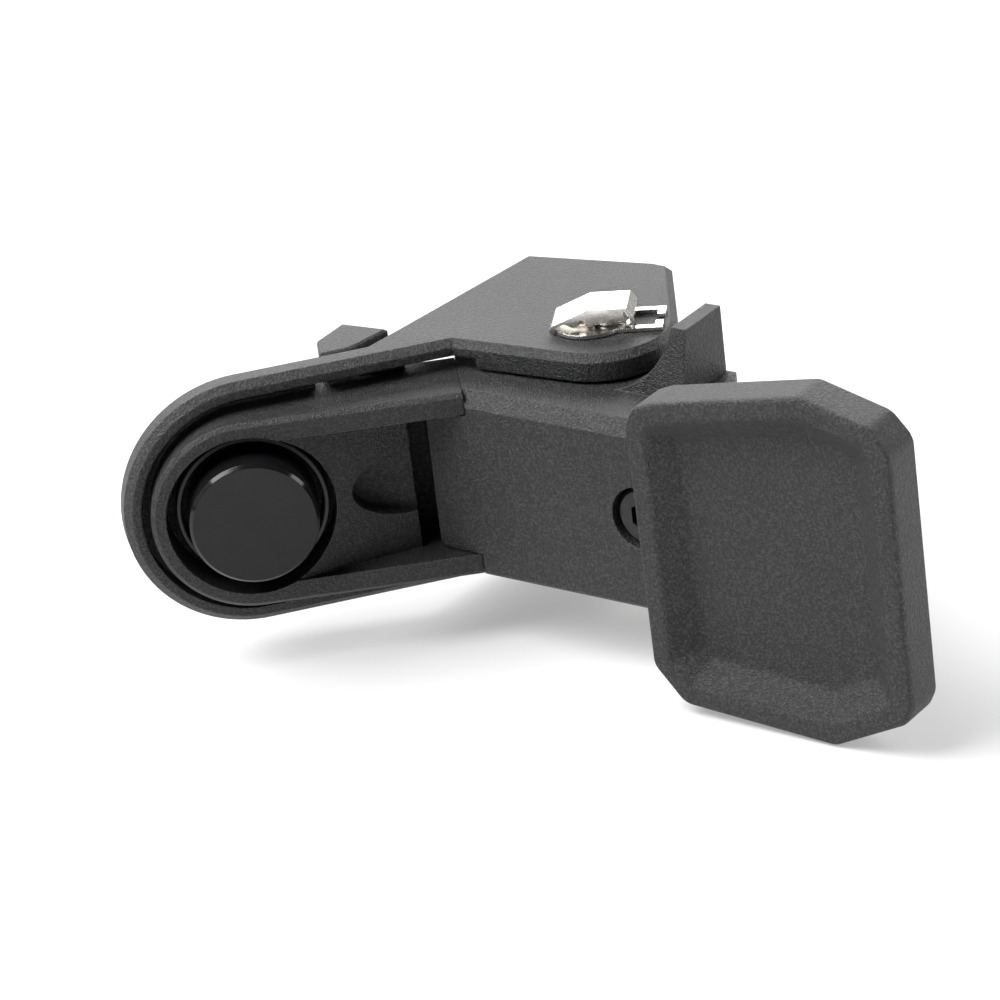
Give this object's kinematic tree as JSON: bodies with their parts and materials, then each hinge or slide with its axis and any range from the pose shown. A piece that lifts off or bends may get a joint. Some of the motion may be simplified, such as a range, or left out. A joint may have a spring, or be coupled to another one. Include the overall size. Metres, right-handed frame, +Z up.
{
  "type": "roof bracket",
  "caption": "Folding roof bracket: a V-shaped arm with a round-ended cradle, press button and dished pad, in a swinging U-shaped yoke on a clipped clevis pin.",
  "frame": {"origin": "mouth of the fixing sleeve, on its axis, at the back of the cradle", "axes": "+X along the cradle towards the arm, +Y out of the cradle's back, +Z up along the pivot pin"},
  "size_m": [0.1593, 0.1356, 0.0778],
  "materials": {
    "yoke": "fine spark-eroded texture",
    "cradle": "fine spark-eroded texture",
    "arm": "fine spark-eroded texture",
    "pad": "fine spark-eroded texture",
    "button": "smooth, glossy",
    "collar": "smooth satin",
    "steel_bright": "bright nickel plate",
    "steel_black": "black oxide",
    "steel_zinc": "zinc plate",
    "brass": "turned",
    "bushing": "moulded acetal",
    "rubber": "matt"
  },
  "bodies": {
    "bracket": {"cradle": "cradle", "back_cover": "cradle", "cover_screws": "steel_black", "tongue_screws": "steel_black", "tongue_inserts": "brass", "fixing_sleeve": "steel_black", "rear_lug": "arm", "lug_screws": "steel_black", "button_collar": "collar", "button_spring": "steel_zinc", "arm_block": "arm", "bush_upper": "bushing", "bush_lower": "bushing", "thrust_washer_upper": "bushing", "thrust_washer_lower": "bushing", "clamp_screw": "steel_black", "clamp_nut": "steel_zinc", "pad": "pad", "pad_neck": "arm", "pad_stiffener": "steel_zinc", "pad_screws": "steel_zinc"},
    "yoke_body": {"yoke": "yoke", "yoke_buffer": "rubber", "pivot_pin": "steel_bright", "pin_washer": "steel_zinc", "pin_clip": "steel_bright"},
    "button_body": {"button": "button", "button_ring": "steel_zinc"}
  },
  "joints": [
    {"name": "yoke_swing", "type": "hinge", "parent": "bracket", "child": "yoke_body", "pos_m": [0.053, -0.0115, 0], "axis": [0, 0, 1], "range_deg": [0, 55]},
    {"name": "button_press", "type": "slide", "parent": "bracket", "child": "button_body", "axis": [0, 1, 0], "range_m": [0, 0.002], "stiffness_N_per_m": 1200, "springref_m": -0.003, "deforming": ["button_spring"]}
  ]
}
